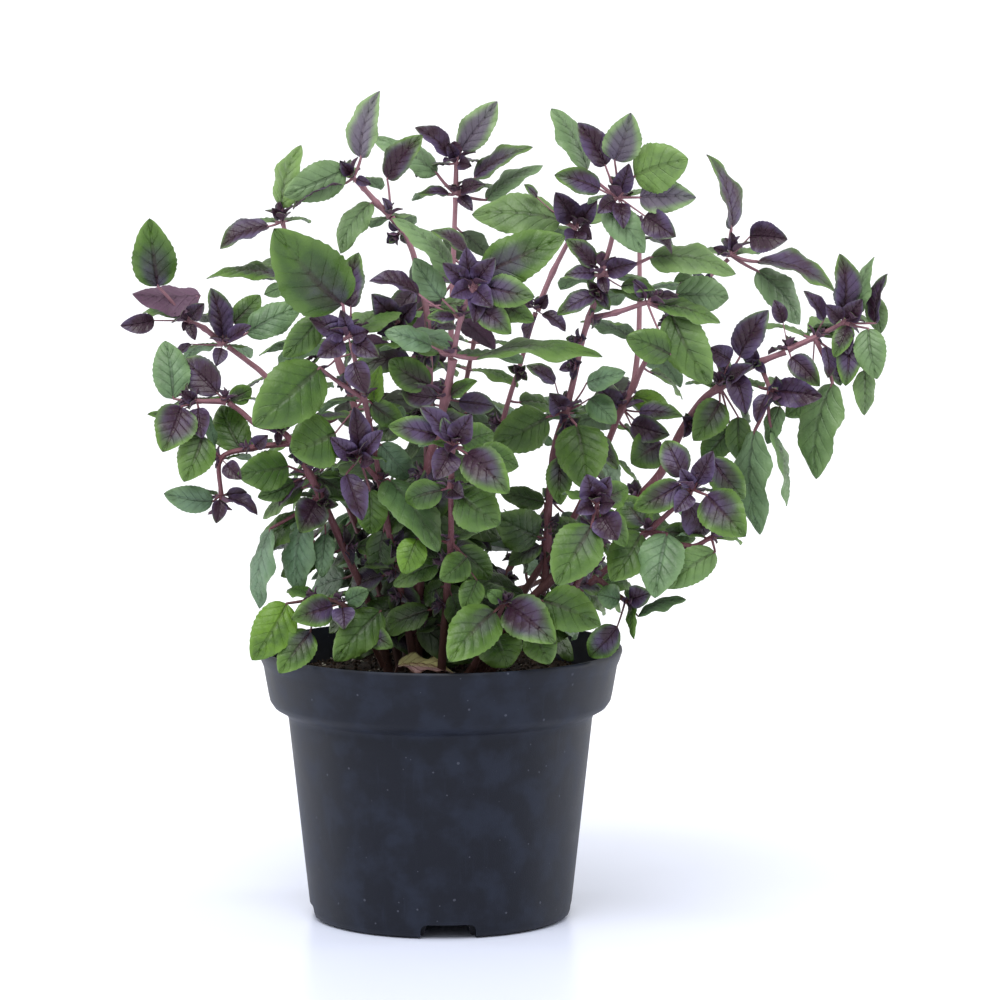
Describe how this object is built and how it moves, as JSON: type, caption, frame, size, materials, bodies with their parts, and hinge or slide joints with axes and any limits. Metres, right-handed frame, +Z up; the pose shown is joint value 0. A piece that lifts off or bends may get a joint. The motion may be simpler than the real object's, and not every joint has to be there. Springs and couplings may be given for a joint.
{
  "type": "potted purple basil plant",
  "caption": "Bushy purple and green basil growing in a round black nursery pot; it stands on the pot's foot ring and its leaves are picked as a herb.",
  "frame": {"origin": "centre of the pot's underside, on the surface it stands on", "axes": "+Z up along the pot's axis; the plant's front faces -Y and +X is to its right as seen from the front"},
  "size_m": [0.2925, 0.2053, 0.3185],
  "materials": {
    "pot_plastic": "matte, faintly dusty, soft sheen at the sides",
    "potting_mix": "dark damp peat and bark crumbs with pale specks",
    "stems": "satin, reddish purple, browner near the soil",
    "foliage": "satin leaves, green when full grown, dark purple when young"
  },
  "bodies": {
    "root": {"pot": "pot_plastic", "potting_mix": "potting_mix", "stem_far_left": "stems", "stem_left": "stems", "stem_upper_left": "stems", "stem_left_front": "stems", "stem_high_left": "stems", "stem_top": "stems", "stem_centre_front": "stems", "stem_centre_right": "stems", "stem_top_right": "stems", "stem_upper_right": "stems", "stem_right": "stems", "stem_lower_right": "stems", "stem_right_front": "stems", "stem_centre_low": "stems", "stem_back_left": "stems", "stem_back_centre": "stems", "stem_back_right": "stems", "shoot_far_left": "foliage", "shoot_upper_left": "foliage", "shoot_high_left": "foliage", "shoot_top": "foliage", "shoot_centre": "foliage", "leaves_centre": "foliage", "shoot_centre_right": "foliage", "shoot_top_right": "foliage", "leaves_top_right": "foliage", "shoot_inner_right": "foliage", "shoot_upper_right": "foliage", "leaves_upper_right": "foliage", "shoot_right": "foliage", "leaves_right": "foliage", "shoot_right_hanging": "foliage", "shoot_lower_right": "foliage", "leaves_lower_right": "foliage", "shoot_low_right": "foliage", "shoot_right_front": "foliage", "leaves_top_right_low": "foliage", "leaves_centre_right_low": "foliage", "shoot_centre_low": "foliage", "leaves_centre_low": "foliage", "shoot_front": "foliage", "shoot_front_left": "foliage", "leaves_left_low": "foliage", "shoot_inner_left": "foliage", "shoot_left_front": "foliage", "leaves_left_front": "foliage", "shoot_high_left_inner": "foliage", "shoot_left": "foliage", "shoot_left_hanging": "foliage", "leaves_left": "foliage", "shoot_back_left": "foliage", "shoot_back_centre": "foliage", "shoot_back_right": "foliage", "shoot_back_left_low": "foliage", "shoot_back_centre_low": "foliage", "shoot_back_right_low": "foliage", "shoot_back_upper_left": "foliage", "shoot_back_upper_right": "foliage"}
  },
  "joints": []
}
